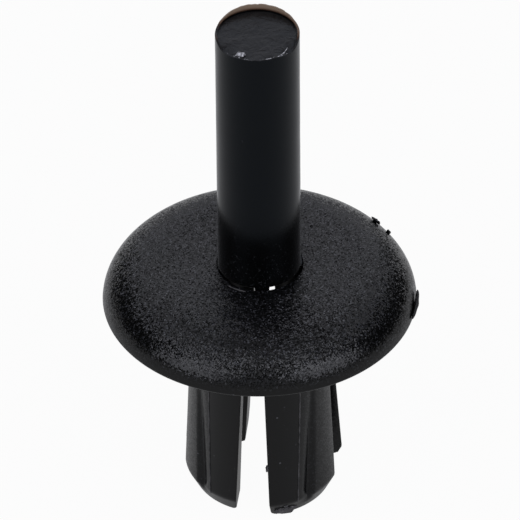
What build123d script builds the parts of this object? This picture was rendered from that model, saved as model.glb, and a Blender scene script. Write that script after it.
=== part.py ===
"""Plastic push rivet: a domed head on a split shank with four prongs, and the pin that spreads them.

Millimetres. The rivet's axis is Z and the pin points up. The origin is on the axis, in the plane of
the four prong tips, which the rivet stands on. The prongs are centred on the X and Y axes, and the
slots between them lie on the diagonals. Azimuths are in degrees from X towards Y.
"""

import os
from math import atan2, cos, radians, sin

from build123d import *

os.makedirs("parts", exist_ok=True)

# Head: a flat crown that rolls over to a sharp lower edge in a quarter of an ellipse
head_diameter = 18.0
head_height = 2.5
crown_diameter = 11.6

# Bore, from the mouth on the crown down between the prongs
bore_diameter = 5.0
mouth_chamfer = 0.15

# Shank: a cone that widens towards the prong tips and ends in a lead-in for the panel's hole
shank_length = 12.9
root_diameter = 7.8
tip_diameter = 9.0
lead_in_height = 0.7
lead_in_step = 0.3
root_fillet = 0.25

# Slots: narrow under the head and wide at the tips, where the prongs are free
slot_root_width = 1.1
slot_tip_width = 2.05
slot_land = 0.6
slot_corner = 0.35

# Flutes: one down the middle of each prong, which run out before they reach the root
prong_count = 4
flute_radius = 0.6
flute_depth = 0.34
flute_length = 9.0

# Pin: it stands above the head until it is pushed, and then ends flush with the crown
pin_diameter = 4.75
pin_stand = 16.3
pin_lift = 0.05
pin_chamfer = 0.2

# Thin lip left on one side of the pin's end face, which it rises from in a crescent
lip_wall = 0.13
lip_height = 0.48
lip_azimuth = 48.5

# Webs that hold the pin's foot in the mouth of the bore until the first push shears them
web_count = 4
web_width = 0.9
web_inset = 1.0
web_depth = 0.5
web_clearance = 0.05
web_azimuth = 55.0

head_radius = head_diameter / 2
bore_radius = bore_diameter / 2
root_radius = root_diameter / 2
tip_radius = tip_diameter / 2
pin_radius = pin_diameter / 2
prong_pitch = 360 / prong_count

seat_z = shank_length
crown_z = seat_z + head_height
pin_foot_z = crown_z + pin_lift
pin_face_z = crown_z + pin_stand
lip_slope = lip_height / pin_radius


def radial_plane(azimuth, height=0.0):
    """Upright plane through the axis that faces outwards at an azimuth, with its own Y along +Z."""
    angle = radians(azimuth)
    return Plane(
        origin=(0, 0, height),
        x_dir=(-sin(angle), cos(angle), 0),
        z_dir=(cos(angle), sin(angle), 0),
    )


def shank_radius(height):
    """Outer radius of the shank's cone at a height above the prong tips."""
    share = (height - lead_in_height) / (seat_z - lead_in_height)
    return tip_radius + (root_radius - tip_radius) * share


# A flute's cutter: a round bar that leans outwards, so that it leaves the prong at the flute's top
flute_foot_radius = shank_radius(0) + flute_radius - flute_depth
flute_top_radius = shank_radius(flute_length) + flute_radius
flute_lean = atan2(flute_top_radius - flute_foot_radius, flute_length)
flute_overrun = 1.0

with BuildPart() as flute_cutter:
    with BuildSketch(
        Plane(
            origin=(
                flute_foot_radius - flute_overrun * sin(flute_lean),
                0,
                -flute_overrun * cos(flute_lean),
            ),
            x_dir=(0, 1, 0),
            z_dir=(sin(flute_lean), 0, cos(flute_lean)),
        )
    ):
        Circle(flute_radius)
    extrude(amount=2 * flute_overrun + flute_length / cos(flute_lean))


with BuildPart() as rivet_body:
    # Half section of the head and the shank on a slot's diagonal, turned about the axis
    with BuildSketch(radial_plane(prong_pitch / 2 - 90)) as half_section:
        with BuildLine():
            Polyline(
                (bore_radius, 0),
                (shank_radius(lead_in_height) - lead_in_step, 0),
                (tip_radius, lead_in_height),
                (root_radius, seat_z),
                (head_radius, seat_z),
            )
            EllipticalCenterArc(
                (crown_diameter / 2, seat_z),
                head_radius - crown_diameter / 2,
                head_height,
                start_angle=0,
                arc_size=90,
            )
            Polyline(
                (crown_diameter / 2, crown_z),
                (bore_radius + mouth_chamfer, crown_z),
                (bore_radius, crown_z - mouth_chamfer),
                (bore_radius, 0),
            )
        make_face()
        root_corner = half_section.vertices().sort_by_distance((root_radius, seat_z))[0]
        fillet(root_corner, root_fillet)
    revolve(axis=Axis.Z)

    # Slots, each cut right across the shank
    for slot_azimuth in (prong_pitch / 2, prong_pitch * 3 / 2):
        with BuildSketch(radial_plane(slot_azimuth)) as slot_section:
            with BuildLine():
                slot_top_z = seat_z - slot_land
                Polyline(
                    (-slot_tip_width / 2, 0),
                    (slot_tip_width / 2, 0),
                    (slot_root_width / 2, slot_top_z),
                    (-slot_root_width / 2, slot_top_z),
                    close=True,
                )
            make_face()
            fillet(slot_section.vertices().group_by(Axis.Y)[-1], slot_corner)
        extrude(amount=tip_radius + 1, both=True, mode=Mode.SUBTRACT)

    with PolarLocations(0, prong_count):
        add(flute_cutter.part, mode=Mode.SUBTRACT)
rivet_body.part.label = "rivet_body"


with BuildPart() as push_pin:
    # Shaft up to the end face, and the lip's wall above it, cut off level and then on a slant
    with BuildSketch(Plane.XY.offset(pin_foot_z)):
        Circle(pin_radius)
    extrude(amount=pin_face_z + lip_height - pin_foot_z)
    chamfer(push_pin.edges().group_by(Axis.Z)[0], pin_chamfer)
    with BuildSketch(Plane.XY.offset(pin_face_z)):
        Circle(pin_radius - lip_wall)
    extrude(amount=lip_height, mode=Mode.SUBTRACT)
    with BuildSketch(radial_plane(lip_azimuth - 90)) as lip_offcut:
        with BuildLine():
            Polyline(
                (-pin_diameter, pin_face_z),
                (0, pin_face_z),
                (pin_diameter, pin_face_z + lip_slope * pin_diameter),
                (-pin_diameter, pin_face_z + lip_slope * pin_diameter),
                close=True,
            )
        make_face()
    extrude(amount=pin_diameter, both=True, mode=Mode.SUBTRACT)

    # Sheared webs round the foot, which reach down into the mouth of the bore
    with BuildSketch(Plane.XY.offset(crown_z - web_depth)):
        with PolarLocations(0, web_count, start_angle=web_azimuth):
            Rectangle(bore_radius, web_width, align=(Align.MIN, Align.CENTER))
        Circle(bore_radius - web_clearance, mode=Mode.INTERSECT)
        Circle(bore_radius - web_inset, mode=Mode.SUBTRACT)
    extrude(amount=web_depth + pin_lift + pin_chamfer)
push_pin.part.label = "push_pin"

for piece in (rivet_body.part, push_pin.part):
    export_step(piece, f"parts/{piece.label}.step")
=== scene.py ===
"""Studio scene of a plastic push rivet: a domed head on four split prongs, and the pin that spreads them.

Metres. The rivet's axis is Z, the pin points up, and the prong tips stand on the floor at the origin.
Azimuths are in degrees from X towards Y. The prongs are centred on X and Y, the slots lie on the diagonals.
"""

from math import asin, atan2, cos, degrees, hypot, pi, radians, sin, sqrt

import bmesh
import bpy
from mathutils import Matrix, Quaternion, Vector, noise


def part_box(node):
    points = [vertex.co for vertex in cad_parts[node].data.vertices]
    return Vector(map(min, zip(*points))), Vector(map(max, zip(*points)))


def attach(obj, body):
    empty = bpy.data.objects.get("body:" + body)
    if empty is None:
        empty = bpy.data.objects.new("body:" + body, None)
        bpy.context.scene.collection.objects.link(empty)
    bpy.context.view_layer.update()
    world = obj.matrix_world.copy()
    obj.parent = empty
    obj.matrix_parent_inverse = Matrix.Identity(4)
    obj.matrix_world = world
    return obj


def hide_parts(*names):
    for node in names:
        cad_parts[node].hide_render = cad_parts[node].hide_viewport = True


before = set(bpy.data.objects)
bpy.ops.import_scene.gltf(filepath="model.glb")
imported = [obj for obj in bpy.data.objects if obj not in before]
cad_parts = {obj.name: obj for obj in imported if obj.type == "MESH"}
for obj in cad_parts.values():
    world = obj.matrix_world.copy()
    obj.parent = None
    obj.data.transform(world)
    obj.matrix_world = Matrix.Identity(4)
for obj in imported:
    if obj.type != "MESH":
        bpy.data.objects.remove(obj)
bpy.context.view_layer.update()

MM = 0.001

# ---------------------------------------------------------------- sizes

rivet_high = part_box("rivet_body")[1]

# Head and bore
crown_z = rivet_high.z
head_height = 2.5 * MM
seat_z = crown_z - head_height
head_radius = rivet_high.x
crown_radius = 5.8 * MM
rim_rounding = 0.12 * MM
bore_radius = 2.5 * MM
mouth_rounding = 0.04 * MM

# Sliver of a torn web on one side of the mouth: its middle, how far it reaches to each side in degrees,
# how deep it goes into the bore, and the gap that it leaves to the pin
sliver_azimuth = 160
sliver_reach = 54
sliver_depth = 1.2 * MM
sliver_gap = 0.015 * MM

# Shank: a cone from the root under the head to the prong tips, with a lead-in at the tips
root_radius = 3.9 * MM
tip_radius = 4.5 * MM
lead_in_height = 1.05 * MM
lead_in_step = 0.56 * MM
tip_corner = 0.28 * MM
root_fillet = 0.25 * MM
slot_root_width = 1.1 * MM
slot_tip_width = 2.05 * MM
slot_corner = 0.35 * MM
slot_top_z = seat_z - 0.6 * MM
edge_rounding = 0.08 * MM

# The parting line of each prong, from the prong's middle: it nears the slot towards the tip
parting_at_root = radians(2.2)
parting_at_tip = radians(10.8)

# Flute beside the parting line: a small step down, a bed that falls ever more steeply, and a steeper
# far bank. The step's width and the bed's far end are shares of the flute's width, and the step's height
# is a share of its depth. The flute ends short of the tip and runs out towards the head
flute_width = 1.2 * MM
flute_depth = 0.41 * MM
flute_step_width = 0.1
flute_step_height = 0.1
flute_bed_end = 0.75
flute_softening = 0.07
flute_foot = 0.45 * MM
flute_deepest = 1.3 * MM
flute_top = 10.5 * MM

# How far each prong leans outwards, and how far its tip turns about Z, by its azimuth: they never come
# out of the mould quite alike
prong_lean = {0: 1.6, 90: 1.0, 180: -0.5, 270: 0.8}
prong_twist = {0: 0.0, 90: 0.0, 180: -1.0, 270: -1.9}
mirrored_prongs = (90, 270)

# Ridges where the mould's parts met, and how far they are sunk into the prongs
ridge_radius = 0.05 * MM
ridge_sunk = 0.02 * MM

# Pin: its end face has a thin lip on the far side, which the gate left, and a burr on the near side
pin_radius = 2.375 * MM
pin_foot_z = crown_z + 0.05 * MM
pin_face_z = crown_z + 16.3 * MM
foot_rounding = 0.06 * MM
lip_wall = 0.13 * MM
lip_height = 0.47 * MM
lip_azimuth = 48.5
burr_height = 0.02 * MM
burr_azimuth = 232
burr_reach = 95

# Humps on the end face's rim, and places where its edge is worn: the middle and the reach to each side,
# in degrees, and the height or the drop
rim_humps = ((312, 34, 0.2 * MM), (150, 26, 0.12 * MM))
worn_places = ((292, 32, 0.2 * MM), (178, 30, 0.1 * MM))
worn_from = 2.0 * MM

# Webs that hold the pin's foot in the mouth: azimuth of each, and how far out it reaches
web_reach = {55: 2.45 * MM, 145: 2.385 * MM, 235: 2.45 * MM, 325: 2.45 * MM}
web_root = 1.5 * MM
web_width = 0.9 * MM
web_depth = 0.5 * MM

# Crumbs of flash, and bites of that shape: radius in millimetres, azimuth, height, the three half sizes
# in millimetres, and the turn about Z
pinhole = (4.5, 9.5, crown_z, (0.12, 0.08, 0.12), 50)
tip_bite = (4.5, 331.0, 0.05 * MM, (0.5, 0.75, 0.5), 331)
dome_crumbs = (
    (8.26, 356.9, seat_z + 1.73 * MM, (0.36, 0.1, 0.11), 272),
    (8.5, 350.3, seat_z + 1.43 * MM, (0.18, 0.11, 0.12), 265),
)
prong_crumbs_and_glint = (
    (4.46, 235.9, 3.75 * MM, (0.1, 0.085, 0.24), 236),
    (4.36, 250.6, 0.4 * MM, (0.18, 0.62, 0.27), 251),
    # This pale crumb is a painted glint on the lead-in
    (4.56, 249.4, 0.82 * MM, (0.08, 0.15, 0.07), 249),
)
# The crumbs on the end face and the curls below are pale partly as painted highlights, where their burrs
# glint
face_crumbs = (
    (2.0, 204.0, pin_face_z + 0.05 * MM, (0.24, 0.2, 0.09), 115),
    (2.14, 199.5, pin_face_z + 0.03 * MM, (0.12, 0.08, 0.05), 130),
)

# Long curls on the end face: azimuth of each end, radius of each end and thickness, in millimetres
long_curls = ((238, 260, 2.29, 2.26, 0.026), (264, 287, 2.27, 2.03, 0.034))

# ---------------------------------------------------------------- colours and nodes


def linear(hex_colour):
    """Linear RGBA of an sRGB hex colour."""
    channels = [int(hex_colour[i : i + 2], 16) / 255 for i in (1, 3, 5)]
    return [c / 12.92 if c <= 0.04045 else ((c + 0.055) / 1.055) ** 2.4 for c in channels] + [1.0]


def add_node(tree, kind, inputs=None, **settings):
    """Adds a node, sets its properties, and sets each input or links a socket or a node's output to it."""
    node = tree.nodes.new(kind)
    for name, value in settings.items():
        setattr(node, name, value)
    for name, value in (inputs or {}).items():
        if isinstance(value, bpy.types.Node):
            value = next(socket for socket in value.outputs if socket.enabled)
        if isinstance(value, bpy.types.NodeSocket):
            tree.links.new(value, node.inputs[name])
        else:
            node.inputs[name].default_value = value
    return node


def new_material(name):
    """An empty material with its output node."""
    material = bpy.data.materials.new(name)
    material.use_nodes = True
    material.node_tree.nodes.clear()
    return material, add_node(material.node_tree, "ShaderNodeOutputMaterial")


# ---------------------------------------------------------------- materials


def grained_nylon():
    """Black nylon 6.6 from a spark-eroded mould: fine matte grain whose tiny facets glitter, with more
    glints painted on as paler crater floors.
    """
    material, output = new_material("grained_nylon_moulded")
    tree = material.node_tree
    place = add_node(tree, "ShaderNodeTexCoord").outputs["Object"]
    axes = add_node(tree, "ShaderNodeSeparateXYZ", {"Vector": place}).outputs
    # The prongs are grained thinly, and only from their parting lines to the slots at 135 and 315 degrees.
    # Halfway up, a parting line lies 38.4 degrees from the slot at 45 or 225, and this is its tangent
    parting_slope = 0.793
    total = add_node(tree, "ShaderNodeMath", {0: axes["X"], 1: axes["Y"]}, operation="ADD")
    along = add_node(tree, "ShaderNodeMath", {0: total}, operation="ABSOLUTE")
    difference = add_node(tree, "ShaderNodeMath", {0: axes["X"], 1: axes["Y"]}, operation="SUBTRACT")
    across = add_node(tree, "ShaderNodeMath", {0: difference}, operation="ABSOLUTE")
    beyond = add_node(
        tree,
        "ShaderNodeMath",
        {0: along, 1: -parting_slope, 2: across},
        operation="MULTIPLY_ADD",
    )
    on_prongs = add_node(
        tree,
        "ShaderNodeMapRange",
        {"Value": beyond, "From Min": 0.0, "From Max": 0.5 * MM, "To Min": 0.03, "To Max": 0.3},
        interpolation_type="SMOOTHSTEP",
    )
    # The crown is grained in full, the dome's flank by half, and its lower edge hardly at all
    on_flank = add_node(
        tree,
        "ShaderNodeMapRange",
        {
            "Value": axes["Z"],
            "From Min": seat_z + 0.15 * MM,
            "From Max": seat_z + 0.7 * MM,
            "To Max": 0.5,
        },
        interpolation_type="SMOOTHSTEP",
    )
    on_crown = add_node(
        tree,
        "ShaderNodeMapRange",
        {
            "Value": axes["Z"],
            "From Min": seat_z + 1.2 * MM,
            "From Max": seat_z + 1.9 * MM,
            "To Max": 0.5,
        },
        interpolation_type="SMOOTHSTEP",
    )
    on_dome = add_node(tree, "ShaderNodeMath", {0: on_flank, 1: on_crown}, operation="ADD")
    strength = add_node(tree, "ShaderNodeMath", {0: on_prongs, 1: on_dome}, operation="MAXIMUM")
    # Craters whose floors each lean their own way. The real ones are nearer 0.04 mm across, which is too
    # fine to show, so they are drawn at 0.07 mm
    steepest = 0.42
    craters = add_node(tree, "ShaderNodeTexVoronoi", {"Vector": place, "Scale": 1 / (0.07 * MM)})
    leaning = add_node(
        tree,
        "ShaderNodeVectorMath",
        {0: craters.outputs["Color"], 1: (0.5, 0.5, 0.5)},
        operation="SUBTRACT",
    )
    steepness = add_node(tree, "ShaderNodeMath", {0: strength, 1: steepest}, operation="MULTIPLY")
    lean = add_node(tree, "ShaderNodeVectorMath", {0: leaning, "Scale": steepness}, operation="SCALE")
    upright = add_node(tree, "ShaderNodeNewGeometry").outputs["Normal"]
    leant = add_node(tree, "ShaderNodeVectorMath", {0: upright, 1: lean}, operation="ADD")
    facet = add_node(tree, "ShaderNodeVectorMath", {0: leant}, operation="NORMALIZE")
    # The faint unevenness that the craters lie in
    fine = add_node(
        tree,
        "ShaderNodeTexNoise",
        {"Vector": place, "Scale": 1 / (0.12 * MM), "Detail": 1.0, "Roughness": 0.5},
    )
    height = add_node(tree, "ShaderNodeMath", {0: fine, 1: strength}, operation="MULTIPLY")
    relief = add_node(
        tree,
        "ShaderNodeBump",
        {"Height": height, "Strength": 1.0, "Distance": 0.005 * MM, "Normal": facet},
    )
    # A few craters' floors are painted paler than the rest, as painted glints beside the glitter of the
    # leaning facets, and real dust lies here and there. The random number of each cell is raised to a
    # power: the higher the power, the fewer cells stand out
    glinting_craters = 9.0
    dust_cells = 3.0
    speck = add_node(tree, "ShaderNodeSeparateColor", {"Color": craters.outputs["Color"]})
    rare = add_node(tree, "ShaderNodeMath", {0: speck, 1: glinting_craters}, operation="POWER")
    pale = add_node(tree, "ShaderNodeMath", {0: rare, 1: strength}, operation="MULTIPLY")
    grain_and_painted_glints = add_node(
        tree,
        "ShaderNodeMix",
        {"Factor": pale, "A": linear("#030303"), "B": linear("#3e3f43")},
        data_type="RGBA",
    )
    motes = add_node(tree, "ShaderNodeTexVoronoi", {"Vector": place, "Scale": 1 / (0.6 * MM)})
    dusty = add_node(
        tree,
        "ShaderNodeMapRange",
        {
            "Value": motes.outputs["Distance"],
            "From Min": 0.04,
            "From Max": 0.12,
            "To Min": 1.0,
            "To Max": 0.0,
        },
    )
    which = add_node(tree, "ShaderNodeSeparateColor", {"Color": motes.outputs["Color"]})
    few = add_node(tree, "ShaderNodeMath", {0: which, 1: dust_cells}, operation="POWER")
    dust = add_node(tree, "ShaderNodeMath", {0: dusty, 1: few}, operation="MULTIPLY")
    colour = add_node(
        tree,
        "ShaderNodeMix",
        {"Factor": dust, "A": grain_and_painted_glints, "B": linear("#5c5c60")},
        data_type="RGBA",
    )
    # The roll-over is the glossiest: the crown was handled, and the rim and prongs came from duller steel
    crown_satin = add_node(
        tree,
        "ShaderNodeMapRange",
        {
            "Value": axes["Z"],
            "From Min": crown_z - 0.3 * MM,
            "From Max": crown_z - 0.02 * MM,
            "To Min": 0.16,
            "To Max": 0.22,
        },
    )
    rim_satin = add_node(
        tree,
        "ShaderNodeMapRange",
        {
            "Value": axes["Z"],
            "From Min": seat_z + 0.3 * MM,
            "From Max": seat_z + 0.9 * MM,
            "To Min": 0.28,
            "To Max": 0.16,
        },
    )
    satin = add_node(tree, "ShaderNodeMath", {0: crown_satin, 1: rim_satin}, operation="MAXIMUM")
    surface = add_node(
        tree,
        "ShaderNodeBsdfPrincipled",
        {
            "Base Color": colour,
            "Roughness": satin,
            "IOR": 1.53,
            "Specular IOR Level": 0.235,
            "Normal": relief,
        },
    )
    tree.links.new(surface.outputs["BSDF"], output.inputs["Surface"])
    return material


def smooth_nylon():
    """Black nylon 6.6 from a polished mould: satin, scuffed near its foot, with painted light on a paler
    end face, and a painted glow, brown, where it is thin.
    """
    material, output = new_material("smooth_nylon_moulded")
    tree = material.node_tree
    place = add_node(tree, "ShaderNodeTexCoord").outputs["Object"]
    axes = add_node(tree, "ShaderNodeSeparateXYZ", {"Vector": place}).outputs
    # Scuffs: short marks up to a tenth of a millimetre wide, most of them low on the shaft
    mark_spread = 0.1
    marks = add_node(
        tree,
        "ShaderNodeTexNoise",
        {"Vector": place, "Scale": 1 / (0.16 * MM), "Detail": 3.0, "Roughness": 0.7, "Distortion": 1.2},
    )
    fewest = add_node(
        tree,
        "ShaderNodeMapRange",
        {
            "Value": axes["Z"],
            "From Min": crown_z + 1.2 * MM,
            "From Max": crown_z + 5.0 * MM,
            "To Min": 0.6,
            "To Max": 0.68,
        },
    )
    most = add_node(tree, "ShaderNodeMath", {0: fewest, 1: mark_spread}, operation="ADD")
    worn = add_node(
        tree, "ShaderNodeMapRange", {"Value": marks, "From Min": fewest, "From Max": most}
    )
    shade = add_node(
        tree,
        "ShaderNodeMix",
        {"Factor": worn, "A": linear("#020202"), "B": linear("#2e2f31")},
        data_type="RGBA",
    )
    # The end face was cut, not moulded: it is blotched where the blade dragged, and painted paler where it
    # faces up, as painted light that the face catches
    outwards = add_node(tree, "ShaderNodeTexCoord").outputs["Normal"]
    upwards = add_node(tree, "ShaderNodeSeparateXYZ", {"Vector": outwards}).outputs["Z"]
    facing_up = add_node(
        tree,
        "ShaderNodeMapRange",
        {"Value": upwards, "From Min": 0.3, "From Max": 0.7},
        interpolation_type="SMOOTHSTEP",
    )
    at_end = add_node(
        tree,
        "ShaderNodeMapRange",
        {"Value": axes["Z"], "From Min": pin_face_z - 0.4 * MM, "From Max": pin_face_z - 0.3 * MM},
    )
    cut = add_node(tree, "ShaderNodeMath", {0: facing_up, 1: at_end}, operation="MULTIPLY")
    dragged = add_node(
        tree,
        "ShaderNodeTexNoise",
        {"Vector": place, "Scale": 1 / (0.45 * MM), "Detail": 3.0, "Roughness": 0.6, "Distortion": 0.8},
    )
    mottled_and_painted_lit = add_node(
        tree,
        "ShaderNodeMix",
        {"Factor": dragged, "A": linear("#080707"), "B": linear("#262423")},
        data_type="RGBA",
    )
    face = add_node(tree, "ShaderNodeMix", {"Factor": cut, "A": shade, "B": mottled_and_painted_lit}, data_type="RGBA")
    # The lip on the end face is so thin that brown light comes through it, most of it at its edge. Its
    # colour paints
    # that light as well: a painted glow, tan towards the lip's top, and painted shade, dark brown at its
    # foot
    thin = add_node(
        tree,
        "ShaderNodeMapRange",
        {"Value": axes["Z"], "From Min": pin_face_z + 0.12 * MM, "From Max": pin_face_z + 0.42 * MM},
        interpolation_type="SMOOTHSTEP",
    )
    brown = add_node(
        tree,
        "ShaderNodeMix",
        {"Factor": thin, "A": linear("#4a3324"), "B": linear("#9c8a79")},
        data_type="RGBA",
    )
    lip = add_node(
        tree,
        "ShaderNodeMapRange",
        {"Value": axes["Z"], "From Min": pin_face_z + 0.09 * MM, "From Max": pin_face_z + 0.22 * MM},
        interpolation_type="SMOOTHSTEP",
    )
    colour = add_node(tree, "ShaderNodeMix", {"Factor": lip, "A": face, "B": brown}, data_type="RGBA")
    scuffed = add_node(
        tree, "ShaderNodeBump", {"Height": marks, "Strength": 1.0, "Distance": 0.002 * MM}
    )
    drag = add_node(tree, "ShaderNodeMath", {0: dragged, 1: cut}, operation="MULTIPLY")
    relief = add_node(
        tree,
        "ShaderNodeBump",
        {"Height": drag, "Strength": 1.0, "Distance": 0.05 * MM, "Normal": scuffed},
    )
    satin = add_node(tree, "ShaderNodeMapRange", {"Value": cut, "To Min": 0.18, "To Max": 0.2})
    surface = add_node(
        tree,
        "ShaderNodeBsdfPrincipled",
        {
            "Base Color": colour,
            "Roughness": satin,
            "IOR": 1.53,
            "Specular IOR Level": 0.14,
            "Specular Tint": linear("#dcedff"),
            "Sheen Weight": 0.1,
            "Sheen Roughness": 0.3,
            "Normal": relief,
        },
    )
    most_through = 0.55
    through = add_node(tree, "ShaderNodeBsdfTranslucent", {"Color": linear("#b09e8a")})
    share = add_node(tree, "ShaderNodeMath", {0: thin, 1: most_through}, operation="MULTIPLY")
    mix = add_node(tree, "ShaderNodeMixShader", {0: share, 1: surface, 2: through})
    tree.links.new(mix.outputs[0], output.inputs["Surface"])
    return material


def whitened_nylon_and_glints():
    """Black nylon that was bent until it crazed: the tiny cracks turn it pale and rough, and its pale
    colour is also painted highlight, for the glints on burrs.
    """
    material, output = new_material("whitened_nylon_painted_glints")
    tree = material.node_tree
    place = add_node(tree, "ShaderNodeTexCoord").outputs["Object"]
    crazing = add_node(
        tree,
        "ShaderNodeTexNoise",
        {"Vector": place, "Scale": 1 / (0.1 * MM), "Detail": 2.0, "Roughness": 0.6},
    )
    crazed = add_node(
        tree, "ShaderNodeMapRange", {"Value": crazing, "From Min": 0.42, "From Max": 0.6}
    )
    colour = add_node(
        tree,
        "ShaderNodeMix",
        {"Factor": crazed, "A": linear("#38383b"), "B": linear("#bcbcc0")},
        data_type="RGBA",
    )
    surface = add_node(
        tree, "ShaderNodeBsdfPrincipled", {"Base Color": colour, "Roughness": 0.35, "IOR": 1.53}
    )
    tree.links.new(surface.outputs["BSDF"], output.inputs["Surface"])
    return material


def pale_flash_nylon():
    """Black nylon flash along the parting lines and at the mouth, dull, painted pale as painted highlights,
    and blotched where handling wore it.
    """
    material, output = new_material("pale_nylon_painted_highlights")
    tree = material.node_tree
    place = add_node(tree, "ShaderNodeTexCoord").outputs["Object"]
    wear = add_node(
        tree,
        "ShaderNodeTexNoise",
        {"Vector": place, "Scale": 1 / (0.5 * MM), "Detail": 3.0, "Roughness": 0.7},
    )
    worn_and_highlit = add_node(tree, "ShaderNodeMapRange", {"Value": wear, "From Min": 0.4, "From Max": 0.62})
    colour = add_node(
        tree,
        "ShaderNodeMix",
        {"Factor": worn_and_highlit, "A": linear("#1f1f20"), "B": linear("#4b494a")},
        data_type="RGBA",
    )
    surface = add_node(
        tree,
        "ShaderNodeBsdfPrincipled",
        {"Base Color": colour, "Roughness": 0.45, "IOR": 1.53, "Specular IOR Level": 0.3},
    )
    tree.links.new(surface.outputs["BSDF"], output.inputs["Surface"])
    return material


def white_floor():
    """Matt card that reads as plain white, with the object's shadow left faintly on it.

    In the nylon's gloss it is seen darker, as a card is away from the lamps."""
    most_glow = 0.96
    glow_by_ray = {"Is Glossy Ray": 0.42, "Is Transmission Ray": 1.0}
    material, output = new_material("white_card")
    tree = material.node_tree
    path = add_node(tree, "ShaderNodeLightPath")
    white = path.outputs["Is Camera Ray"]
    for ray, part in glow_by_ray.items():
        seen = add_node(tree, "ShaderNodeMath", {0: path.outputs[ray], 1: part}, operation="MULTIPLY")
        white = add_node(tree, "ShaderNodeMath", {0: white, 1: seen}, operation="MAXIMUM")
    share = add_node(tree, "ShaderNodeMath", {0: white, 1: most_glow}, operation="MULTIPLY")
    card = add_node(tree, "ShaderNodeBsdfDiffuse", {"Color": linear("#a8a8a8")})
    glow = add_node(tree, "ShaderNodeEmission", {"Color": linear("#ffffff"), "Strength": 1.0})
    mix = add_node(tree, "ShaderNodeMixShader", {0: share, 1: card, 2: glow})
    tree.links.new(mix.outputs[0], output.inputs["Surface"])
    return material


grained = grained_nylon()
smooth = smooth_nylon()
whitened = whitened_nylon_and_glints()
worn_and_highlit = pale_flash_nylon()

# ---------------------------------------------------------------- modelling tools


def only(piece):
    """Makes a piece the one selected and active object."""
    bpy.ops.object.select_all(action="DESELECT")
    piece.select_set(True)
    bpy.context.view_layer.objects.active = piece


def edit(piece):
    """Opens a piece in edit mode with nothing selected."""
    only(piece)
    bpy.ops.object.mode_set(mode="EDIT")
    bpy.ops.mesh.select_all(action="DESELECT")


def close():
    """Leaves edit mode."""
    bpy.ops.object.mode_set(mode="OBJECT")


def pick_faces(piece, passes):
    """Selects the faces whose middle, in millimetres, and normal pass a test, and nothing else."""
    bpy.ops.mesh.select_mode(type="FACE")
    bpy.ops.mesh.select_all(action="DESELECT")
    mesh = bmesh.from_edit_mesh(piece.data)
    mesh.normal_update()
    for face in mesh.faces:
        if passes(face.calc_center_median() / MM, face.normal):
            face.select_set(True)
    bmesh.update_edit_mesh(piece.data)


def pick_edges(piece, passes):
    """Selects the edges whose two ends, in millimetres, pass a test, and nothing else."""
    bpy.ops.mesh.select_mode(type="EDGE")
    bpy.ops.mesh.select_all(action="DESELECT")
    mesh = bmesh.from_edit_mesh(piece.data)
    for edge in mesh.edges:
        start, end = (vertex.co / MM for vertex in edge.verts)
        if passes(start, end):
            edge.select_set(True)
    bmesh.update_edit_mesh(piece.data)


def face_outwards(piece):
    """Points all of a piece's faces outwards."""
    edit(piece)
    bpy.ops.mesh.select_all(action="SELECT")
    bpy.ops.mesh.normals_make_consistent(inside=False)
    close()


def finish(piece, name, material):
    """Applies a piece's place, smooths it by angle, and gives it its name and material."""
    sharp_from = 40
    only(piece)
    bpy.ops.object.transform_apply(location=True, rotation=True, scale=True)
    bpy.ops.object.shade_smooth_by_angle(angle=radians(sharp_from))
    piece.name = name
    piece.data.name = name
    piece.data.materials.clear()
    piece.data.materials.append(material)
    return piece


def join(pieces):
    """Joins pieces into the first of them."""
    only(pieces[0])
    for piece in pieces:
        piece.select_set(True)
    bpy.ops.object.join()
    return pieces[0]


def cut_away(piece, cutter):
    """Takes a cutter's shape out of a piece, and removes the cutter."""
    only(piece)
    cut = piece.modifiers.new("cut", "BOOLEAN")
    cut.operation = "DIFFERENCE"
    cut.object = cutter
    bpy.ops.object.modifier_apply(modifier=cut.name)
    bpy.data.objects.remove(cutter)


def around(radius, azimuth, z):
    """A point at a radius, an azimuth in degrees and a height."""
    return Vector((radius * cos(radians(azimuth)), radius * sin(radians(azimuth)), z))


def hump(azimuth, middle, reach):
    """A smooth hump of height 1 at a middle azimuth, down to 0 a reach away on either side, in degrees."""
    away = (azimuth - middle + 180) % 360 - 180
    share = min(1.0, abs(away) / reach)
    return (1 - share * share) ** 2


def shares(steps):
    """Shares of a whole from 0 to 1, in even steps."""
    return [i / steps for i in range(steps + 1)]


def model_thread(knots):
    """A fine ridge of flash: a round thread through knots, each a place and a radius."""
    curve = bpy.data.curves.new("thread", "CURVE")
    curve.dimensions = "3D"
    curve.bevel_depth = MM
    curve.bevel_resolution = 2
    curve.use_fill_caps = True
    spline = curve.splines.new("POLY")
    spline.points.add(len(knots) - 1)
    for point, (place, radius) in zip(spline.points, knots):
        point.co = (*place, 1)
        point.radius = radius / MM
    thread = bpy.data.objects.new("thread", curve)
    bpy.context.scene.collection.objects.link(thread)
    only(thread)
    bpy.ops.object.convert(target="MESH")
    thread = bpy.context.active_object
    face_outwards(thread)
    return thread


def model_crumb(radius, azimuth, z, size, turn):
    """A crumb of flash: a small ball, stretched, turned about Z and pushed out of round.

    Its radius from the axis and its three half sizes are in millimetres."""
    lumpiness = 0.45
    lump_size = 0.13 * MM
    place = around(radius * MM, azimuth, z)
    bpy.ops.object.select_all(action="DESELECT")
    bpy.ops.mesh.primitive_ico_sphere_add(subdivisions=3, radius=1)
    crumb = bpy.context.active_object
    crumb.scale = [length * MM for length in size]
    crumb.rotation_euler.z = radians(turn)
    crumb.location = place
    bpy.ops.object.transform_apply(location=True, rotation=True, scale=True)
    for vertex in crumb.data.vertices:
        out_of_round = 1 + lumpiness * noise.noise(vertex.co / lump_size)
        vertex.co = place + (vertex.co - place) * out_of_round
    return crumb


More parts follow.
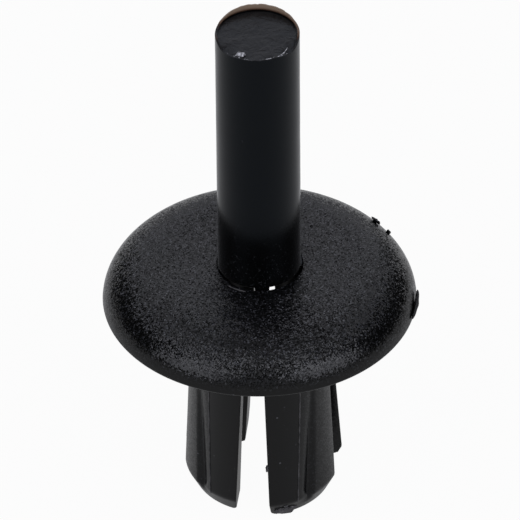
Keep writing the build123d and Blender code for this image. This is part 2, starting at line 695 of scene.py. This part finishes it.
def shank_radius(z):
    """Outer radius of the shank at a height, lead-in included."""
    share = (z - lead_in_height) / (seat_z - lead_in_height)
    radius = tip_radius + (root_radius - tip_radius) * share
    lead_in = max(0.0, 1 - z / lead_in_height)
    return radius - lead_in_step * lead_in


def slot_width(z, depth):
    """Width of a slot at a height, closing in the round to its roof and opening at the tips.

    The tips' corners are rounder on the prong's outer face than at a depth of 1, on its inner face."""
    sharper_inside = 0.8
    width = slot_tip_width + (slot_root_width - slot_tip_width) * z / slot_top_z
    into_roof = min(max(0.0, z - (slot_top_z - slot_corner)), slot_corner)
    into_tip = max(0.0, tip_corner - z)
    roof = slot_corner - sqrt(slot_corner**2 - into_roof**2)
    tip = tip_corner - sqrt(tip_corner**2 - into_tip**2)
    return width - 2 * roof + 2 * tip * (1 - sharper_inside * depth)


# ---------------------------------------------------------------- head


def spin_outline(outline, steps):
    """A closed outline of (radius, height) points, spun once about Z."""
    bpy.ops.object.select_all(action="DESELECT")
    bpy.ops.mesh.primitive_circle_add(vertices=len(outline), radius=MM)
    piece = bpy.context.active_object
    for vertex, (radius, height) in zip(piece.data.vertices, outline):
        vertex.co = (radius, 0, height)
    edit(piece)
    bpy.ops.mesh.select_all(action="SELECT")
    bpy.ops.mesh.spin(steps=steps, angle=2 * pi, center=(0, 0, 0), axis=(0, 0, 1))
    bpy.ops.mesh.select_all(action="SELECT")
    bpy.ops.mesh.remove_doubles(threshold=0.001 * MM)
    close()
    face_outwards(piece)
    return piece


def arc(centre, radii, start, end, count):
    """Points of an elliptical arc from one angle to another, in degrees, ends included."""
    angles = [radians(start + (end - start) * share) for share in shares(count)]
    return [(centre[0] + radii[0] * cos(a), centre[1] + radii[1] * sin(a)) for a in angles]


def model_head():
    """The domed head and the short collar under it that the prongs grow from."""
    collar_inset = 0.02 * MM
    bore_overlap = 1.4 * MM
    mouth_radius = bore_radius + mouth_rounding
    rim_centre = (head_radius - rim_rounding, seat_z + rim_rounding)
    root_centre = (root_radius + root_fillet, seat_z - root_fillet)
    mouth = arc((mouth_radius, crown_z - mouth_rounding), (mouth_rounding, mouth_rounding), 180, 90, 4)
    crown = [(mouth_radius + (crown_radius - bore_radius) * share, crown_z) for share in (0.3, 0.6, 0.85)]
    dome = arc((crown_radius, seat_z), (head_radius - crown_radius, head_height), 90, 4, 22)
    rim = arc(rim_centre, (rim_rounding, rim_rounding), 0, -90, 4)
    underside = [(radius * MM, seat_z) for radius in (8.0, 6.5, 5.2)]
    root = arc(root_centre, (root_fillet, root_fillet), 90, 180, 5)
    collar = [(shank_radius(slot_top_z) - collar_inset, slot_top_z), (bore_radius, slot_top_z)]
    bore = [(bore_radius, slot_top_z + bore_overlap)]
    head = spin_outline(mouth + crown + dome + rim + underside + root + collar + bore, 180)
    fill_mouth(head)
    cut_away(head, model_crumb(*pinhole))
    return head


def fill_mouth(head):
    """Leaves the sliver of a torn web in the mouth, so that the bore is tight on that side of the pin."""
    blunt_ends = 0.3
    thickness = bore_radius - pin_radius - sliver_gap
    widest = bore_radius + 1.5 * mouth_rounding
    for vertex in head.data.vertices:
        radius = hypot(vertex.co.x, vertex.co.y)
        if vertex.co.z > seat_z and radius < widest:
            azimuth = degrees(atan2(vertex.co.y, vertex.co.x))
            height = max(0.0, 1 - (crown_z - vertex.co.z) / sliver_depth)
            sliver = hump(azimuth, sliver_azimuth, sliver_reach) ** blunt_ends * height
            inner = radius - thickness * sliver * (widest - radius) / (widest - bore_radius)
            vertex.co.x *= inner / radius
            vertex.co.y *= inner / radius


# ---------------------------------------------------------------- prongs


def parting_angle(z):
    """Angle of a prong's parting line from the prong's middle, at a height."""
    return parting_at_tip + (parting_at_root - parting_at_tip) * z / seat_z


def trough(share):
    """Depth of the flute at a share of its width, from 0 at its sides to 1 at its bottom."""
    if not 0 < share < 1:
        return 0.0
    step = min(1.0, share / flute_step_width)
    bed = min(1.0, share / flute_bed_end)
    bank = max(0.0, share - flute_bed_end) / (1 - flute_bed_end)
    fall = flute_step_height * step + (1 - flute_step_height) * (1 - cos(pi / 2 * bed))
    return fall * (1 - sin(pi / 2 * bank))


def flute_inset(beside, z):
    """How far a prong's face lies below the cone, at a distance from the parting line and a height.

    The distance runs from the line towards the prong's middle and on past it."""
    share = beside / flute_width
    rise = min(1.0, max(0.0, (z - flute_foot) / (flute_deepest - flute_foot)))
    run_out = min(1.0, max(0.0, (flute_top - z) / (flute_top - flute_deepest)))
    softened = sum(trough(share + shift) for shift in (-flute_softening, 0.0, flute_softening)) / 3
    return flute_depth * softened * rise * rise * (3 - 2 * rise) * run_out


def model_prong():
    """A prong centred on X, its parting line on the +Y side: a block, rounded, then bent to the cone."""
    into_head = 0.15 * MM
    thickness = tip_radius - bore_radius
    width = 5.0 * MM
    height = seat_z + into_head
    end_crowding = 1.1 * MM
    flute_fade = 0.6 * thickness
    # Cuts along the prong, across it and through it, made in the straight edges over half a millimetre
    cuts_by_axis = {2: 64, 1: 100, 0: 6}
    long_edge = 0.5
    straight = 0.001
    bpy.ops.object.select_all(action="DESELECT")
    bpy.ops.mesh.primitive_cube_add(
        size=1, location=(thickness / 2, 0, height / 2), scale=(thickness, width, height)
    )
    prong = bpy.context.active_object
    bpy.ops.object.transform_apply(location=True, rotation=True, scale=True)
    edit(prong)
    pick_edges(prong, lambda a, b: abs(a.z - b.z) > 1 or (a.z < 0.1 and b.z < 0.1))
    bpy.ops.mesh.bevel(offset=edge_rounding, segments=3, affect="EDGES")
    for axis, cuts in cuts_by_axis.items():
        pick_edges(
            prong,
            lambda a, b: abs(a[axis] - b[axis]) > long_edge
            and all(abs(a[other] - b[other]) < straight for other in range(3) if other != axis),
        )
        bpy.ops.mesh.subdivide(number_cuts=cuts)
    mesh = bmesh.from_edit_mesh(prong.data)
    for vertex in mesh.verts:
        depth = thickness - vertex.co.x
        side = vertex.co.y / (width / 2)
        # Rings crowd towards both ends, where the tip's corners and the slot's roof are round
        z = vertex.co.z - end_crowding * sin(2 * pi * vertex.co.z / height)
        outer = shank_radius(z)
        radius = outer - depth * (outer - bore_radius) / thickness
        half_angle = pi / 4 - asin(slot_width(z, depth / thickness) / 2 / radius)
        angle = side * half_angle
        beside = (parting_angle(z) - angle) * outer
        near_face = max(0.0, 1 - depth / flute_fade)
        radius -= flute_inset(beside, z) * near_face
        vertex.co = (radius * cos(angle), radius * sin(angle), z)
    bmesh.update_edit_mesh(prong.data)
    close()
    return prong


def ridge_knot(share):
    """Place and radius of the line down a prong where the mould's halves met, at a share of its height."""
    foot = 0.95 * MM
    top = slot_top_z + 0.4 * MM
    z = foot + (top - foot) * share
    wander = radians(0.5) * noise.noise((0, 0, z / (2.0 * MM)))
    angle = parting_angle(z) + wander
    radius = shank_radius(z) + ridge_radius * 0.5 - ridge_sunk
    thickness = ridge_radius * (0.8 + 0.3 * noise.noise((3, 0, z / (0.6 * MM))))
    return Vector((radius * cos(angle), radius * sin(angle), z)), thickness


def copy_turned(piece, azimuth, mirrored, lean, twist):
    """A copy of a prong, leant outwards and twisted from its root, perhaps mirrored, at its azimuth.

    Its tip is kept level with the floor."""
    root = Vector((root_radius, 0, seat_z))
    leaning = Matrix.Rotation(radians(-lean), 4, "Y")
    only(piece)
    bpy.ops.object.duplicate()
    copy = bpy.context.active_object
    copy.matrix_world = Matrix.Translation(root) @ leaning @ Matrix.Translation(-root)
    bpy.ops.object.transform_apply(location=True, rotation=True, scale=True)
    if mirrored:
        copy.scale.y = -1
        bpy.ops.object.transform_apply(location=False, rotation=False, scale=True)
        face_outwards(copy)
    copy.rotation_euler.z = radians(azimuth)
    bpy.ops.object.transform_apply(location=False, rotation=True, scale=False)
    for vertex in copy.data.vertices:
        share = max(0.0, (seat_z - vertex.co.z) / seat_z)
        vertex.co = Matrix.Rotation(radians(twist) * share, 3, "Z") @ vertex.co
        vertex.co.z = max(0.0, vertex.co.z)
    return copy


def copies_round(piece):
    """A copy of a prong, or of its ridge, at each of the four places."""
    copies = []
    for azimuth, lean in prong_lean.items():
        mirrored = azimuth in mirrored_prongs
        copies.append(copy_turned(piece, azimuth, mirrored, lean, prong_twist[azimuth]))
    bpy.data.objects.remove(piece)
    return copies


def torn_knot(share):
    """Place and radius of the torn line beside the mouth, at a share of its length."""
    azimuth = 190 + 25 * share
    ragged = 1 + 0.6 * noise.noise((7, 0, share * 8))
    thickness = 0.035 * MM * sin(pi * share) ** 0.5 * ragged + 0.005 * MM
    return around(2.72 * MM, azimuth, crown_z + 0.01 * MM), thickness


def fin_knot(share):
    """Place and radius of the fin on the rim, at a share of its length."""
    azimuth = 305.5 + 14 * share
    height = seat_z + (0.3 + 0.4 * share) * MM
    ragged = 0.9 + 0.25 * noise.noise((5, 0, share * 5))
    thickness = 0.14 * MM * sin(pi * share) ** 0.5 * ragged + 0.01 * MM
    return around(9.06 * MM, azimuth, height), thickness


def model_pale_flash():
    """Flash painted pale as painted highlights: a torn line at the mouth, for the lit edge of its rim,
    crumbs beside a slot and on a tip, and a painted glint above the tip.
    """
    torn = model_thread([torn_knot(share) for share in shares(24)])
    return [torn] + [model_crumb(*crumb) for crumb in prong_crumbs_and_glint]


def model_flash():
    """What the mould let past its joints on the head: crumbs on the dome, and a fin on the rim."""
    fin = model_thread([fin_knot(share) for share in shares(24)])
    return [model_crumb(*crumb) for crumb in dome_crumbs] + [fin]


def model_rivet():
    """Head and prongs as the one moulding that they are, and the pale flash on it."""
    prongs = copies_round(model_prong())
    cut_away(prongs[0], model_crumb(*tip_bite))
    moulding = finish(join([model_head()] + prongs + model_flash()), "rivet_moulding", grained)
    ridges = copies_round(model_thread([ridge_knot(share) for share in shares(60)]))
    # The parting ridges are painted pale, as painted highlights along them
    flash = finish(join(ridges + model_pale_flash()), "pale_flash", worn_and_highlit)
    return moulding, flash


rivet, pale_flash = model_rivet()
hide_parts("rivet_body")
for piece in (rivet, pale_flash):
    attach(piece, "rivet")

# ---------------------------------------------------------------- pin


def rim_height(azimuth):
    """Height of the end face's rim: a lip on the far side, low at its two ends, and a ragged near side."""
    place = around(1.0, azimuth, 0)
    lip = lip_height * max(0.0, cos(radians(azimuth - lip_azimuth)))
    lip *= 1 - 0.25 * abs(noise.noise(place * 3.0) + 0.4 * noise.noise(place * 11.0))
    lip += sum(height * hump(azimuth, middle, reach) for middle, reach, height in rim_humps)
    ragged = max(0.0, noise.noise(place * 7.0) + 0.25 * noise.noise(place * 25.0))
    return lip + burr_height * (1 + 4 * ragged * hump(azimuth, burr_azimuth, burr_reach))


def worn_edge(radius, azimuth):
    """How far the end face drops towards its edge, where the edge is worn."""
    outwards = max(0.0, (radius - worn_from) / (pin_radius - worn_from))
    return outwards * sum(drop * hump(azimuth, middle, reach) for middle, reach, drop in worn_places)


def model_shaft():
    """The pin's shaft: a cylinder, its foot rounded, its end hollowed, its lip and end face shaped."""
    top_z = pin_face_z + lip_height
    height = top_z - pin_foot_z
    near = 0.01 * MM
    level = 0.001 * MM
    dent_depth = 0.02 * MM
    dent_size = 0.55 * MM
    edge_width = 0.2 * MM
    wave_depth = 0.006 * MM
    wave_length = 1.6 * MM
    bpy.ops.object.select_all(action="DESELECT")
    bpy.ops.mesh.primitive_cylinder_add(
        vertices=128, radius=pin_radius, depth=height, location=(0, 0, pin_foot_z + height / 2)
    )
    shaft = bpy.context.active_object
    bpy.ops.object.transform_apply(location=True, rotation=True, scale=True)
    edit(shaft)
    pick_edges(shaft, lambda a, b: max(a.z, b.z) * MM < pin_foot_z + near)
    bpy.ops.mesh.bevel(offset=foot_rounding, segments=3, affect="EDGES")
    pick_edges(shaft, lambda a, b: abs(a.z - b.z) > 1)
    bpy.ops.mesh.subdivide(number_cuts=70)
    pick_faces(shaft, lambda middle, normal: normal.z > 0.9)
    bpy.ops.mesh.inset(thickness=lip_wall)
    bpy.ops.mesh.extrude_region_move(TRANSFORM_OT_translate={"value": (0, 0, -lip_height)})
    # Rings across the end face, and a fan in its middle
    for _ in range(8):
        bpy.ops.mesh.inset(thickness=0.25 * MM)
    bpy.ops.mesh.poke()
    pick_edges(
        shaft,
        lambda a, b: min(a.z, b.z) * MM > top_z - near
        and abs(hypot(*a.xy) - hypot(*b.xy)) * MM < near,
    )
    bpy.ops.mesh.bevel(offset=0.04 * MM, segments=2, affect="EDGES")
    mesh = bmesh.from_edit_mesh(shaft.data)
    for vertex in mesh.verts:
        radius = hypot(vertex.co.x, vertex.co.y)
        azimuth = degrees(atan2(vertex.co.y, vertex.co.x))
        above = vertex.co.z - pin_face_z
        if above > level:
            vertex.co.z = pin_face_z + above / lip_height * rim_height(azimuth)
        if above > -level:
            # The cut left the end face uneven, and its edge less so
            vertex.co.z -= worn_edge(radius, azimuth)
            inwards = min(1.0, (pin_radius - radius) / edge_width)
            vertex.co.z += dent_depth * noise.noise(vertex.co / dent_size) * inwards
        elif radius > 0.9 * pin_radius:
            # The side shrank unevenly as it cooled
            wave = wave_depth * (noise.noise(vertex.co / wave_length) - 0.3)
            vertex.co.x *= 1 + wave / radius
            vertex.co.y *= 1 + wave / radius
    bmesh.update_edit_mesh(shaft.data)
    close()
    return shaft


def model_web(azimuth, reach):
    """Sheared stub of a web under the pin's foot, a little wider where it leaves the pin and torn below."""
    into_pin = 0.12 * MM
    torn_depth = 0.09 * MM
    torn_size = 0.22 * MM
    height = web_depth + into_pin
    length = reach - web_root
    middle = ((web_root + reach) / 2, 0, crown_z - web_depth + height / 2)
    bpy.ops.object.select_all(action="DESELECT")
    bpy.ops.mesh.primitive_cube_add(size=1, location=middle, scale=(length, web_width, height))
    web = bpy.context.active_object
    bpy.ops.object.transform_apply(location=True, rotation=True, scale=True)
    edit(web)
    bpy.ops.mesh.select_all(action="SELECT")
    bpy.ops.mesh.subdivide(number_cuts=7)
    close()
    for vertex in web.data.vertices:
        rise = (vertex.co.z - (crown_z - web_depth)) / height
        torn = torn_depth * abs(noise.noise(vertex.co / torn_size + Vector((azimuth, 0, 0))))
        vertex.co.y *= 0.8 + 0.15 * rise
        vertex.co.z += torn * (1 - rise)
        vertex.co.x = min(vertex.co.x, sqrt(reach**2 - vertex.co.y**2)) - torn * 0.4
    web.rotation_euler.z = radians(azimuth)
    only(web)
    bpy.ops.object.transform_apply(location=True, rotation=True, scale=True)
    return web


def model_small_curl(i):
    """One of a row of small curls along the near edge of the end face, each with its own size."""
    radius = 2.28
    first_azimuth = 184
    spacing = 7.2
    azimuth = first_azimuth + spacing * i + 4 * noise.noise((11, 0, i * 1.7))
    size = 0.035 + 0.03 * noise.noise((13, 0, i * 2.3))
    height = pin_face_z + 0.01 * MM - worn_edge(radius * MM, azimuth)
    return model_crumb(radius, azimuth, height, (0.6 * size, 1.8 * size, 0.7 * size), azimuth)


def curl_knot(share, start, end, first_radius, last_radius, size):
    """Place and radius of a long curl, at a share of its length."""
    azimuth = start + (end - start) * share
    radius = (first_radius + (last_radius - first_radius) * share) * MM
    ragged = max(0.15, 0.7 + 1.2 * noise.noise((start, 0, share * 7)))
    thickness = size * MM * sin(pi * share) ** 0.4 * ragged + 0.004 * MM
    return around(radius, azimuth, pin_face_z + 0.025 * MM - worn_edge(radius, azimuth)), thickness


def model_curls():
    """Curls of nylon that the gate's cut left on the end face, whitened where they were bent, and painted
    pale as painted highlights.
    """
    curls = [model_crumb(*crumb) for crumb in face_crumbs]
    curls += [model_small_curl(i) for i in range(16)]
    for curl in long_curls:
        curls.append(model_thread([curl_knot(share, *curl) for share in shares(30)]))
    return curls


def model_pin():
    """The pin with its web stubs, and the whitened curls on its end face, painted pale as painted
    highlights.
    """
    webs = [model_web(azimuth, reach) for azimuth, reach in web_reach.items()]
    pin = finish(join([model_shaft()] + webs), "pin_moulding", smooth)
    curls = finish(join(model_curls()), "pin_curls", whitened)
    return pin, curls


pin, curls = model_pin()
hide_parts("push_pin")
for piece in (pin, curls):
    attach(piece, "pin")

# ---------------------------------------------------------------- floor and world

bpy.ops.object.select_all(action="DESELECT")
bpy.ops.mesh.primitive_plane_add(size=4.0, location=(0, 0, 0))
floor = bpy.context.active_object
floor.name = "floor"
floor.data.materials.append(white_floor())

world = bpy.data.worlds.new("studio")
bpy.context.scene.world = world
world.use_nodes = True
world.node_tree.nodes.clear()
room = add_node(world.node_tree, "ShaderNodeBackground", {"Color": linear("#ffffff"), "Strength": 0.04})
add_node(world.node_tree, "ShaderNodeOutputWorld", {"Surface": room})

# ---------------------------------------------------------------- lamps and camera

# The view: a long lens that looks down on the crown, past a slot in the shank
view_azimuth = 231.5
view_elevation = 38.8
view_distance = 451.4 * MM
view_roll = -0.5
lens_length = 546.9
film_width = 36.0
crown_centre = Vector((0, 0, crown_z))

# The crown's centre lies a little left of the frame's middle and below it: the width of a pixel there,
# and how many
pixel = 0.05714 * MM
crown_off_centre = (0.7, 3.0)

# Lamps: azimuth from the view's, elevation, width, height and radiance
lamp_distance = 0.5
lamps = {
    # Behind and above: what the flat of the crown shows
    "softbox_back": (180, 38, 0.48, 0.3, 0.97),
    "softbox_low": (180, 14, 0.6, 0.12, 0.8),
    "softbox_left": (-120, 52, 0.36, 0.24, 1.05),
    "softbox_right": (122, 54, 0.28, 0.24, 1.3),
    "softbox_top": (0, 86, 0.3, 0.3, 0.6),
    # In front: strips that glitter in the grain of the roll-over, overhead, lower down and near the floor
    "strip_far_left": (-84, 54, 0.3, 0.06, 2.1),
    "strip_left": (-45, 61, 0.32, 0.05, 4.7),
    "strip_middle": (0, 63, 0.36, 0.05, 1.6),
    "strip_right": (45, 61, 0.32, 0.05, 4.3),
    "strip_low_left": (-46, 36, 0.36, 0.1, 4.2),
    "strip_low_middle": (0, 38, 0.22, 0.08, 1.5),
    "strip_low_right": (44, 36, 0.36, 0.1, 4.9),
    "strip_floor_left": (-50, 17, 0.4, 0.14, 2.9),
    "strip_floor_right": (48, 17, 0.4, 0.14, 3.1),
    "softbox_front": (0, 14, 0.5, 0.12, 0.8),
}


def towards(azimuth, elevation):
    """Unit vector at an azimuth from X and an elevation, in degrees."""
    return around(cos(radians(elevation)), azimuth, sin(radians(elevation)))


def facing(place, target):
    """Turn that makes a lamp or the camera at a place face a target, upright."""
    return (target - place).to_track_quat("-Z", "Y")


def add_lamp(name, azimuth, elevation, width, height, radiance):
    """A softbox that faces the rivet, with the watts that its radiance and size come to."""
    lamp_data = bpy.data.lights.new(name, "AREA")
    lamp_data.shape = "RECTANGLE"
    lamp_data.size = width
    lamp_data.size_y = height
    lamp_data.energy = radiance * width * height * pi
    lamp_data.color = linear("#f3f5ff")[:3]
    lamp = bpy.data.objects.new(name, lamp_data)
    bpy.context.scene.collection.objects.link(lamp)
    lamp.location = crown_centre + towards(azimuth, elevation) * lamp_distance
    lamp.rotation_euler = facing(lamp.location, crown_centre).to_euler()


for name, (turn, *rest) in lamps.items():
    add_lamp(name, view_azimuth + turn, *rest)

camera_data = bpy.data.cameras.new("camera")
camera = bpy.data.objects.new("camera", camera_data)
bpy.context.scene.collection.objects.link(camera)
bpy.context.scene.camera = camera
camera_data.sensor_width = film_width
camera_data.lens = lens_length
camera_data.clip_start = 0.05
camera_data.clip_end = 10.0
camera_place = crown_centre + towards(view_azimuth, view_elevation) * view_distance
camera_turn = facing(camera_place, crown_centre) @ Quaternion((0, 0, 1), radians(view_roll))
camera.location = camera_place + camera_turn @ Vector((*crown_off_centre, 0)) * pixel
camera.rotation_euler = camera_turn.to_euler()
bpy.context.scene.view_settings.view_transform = "Standard"
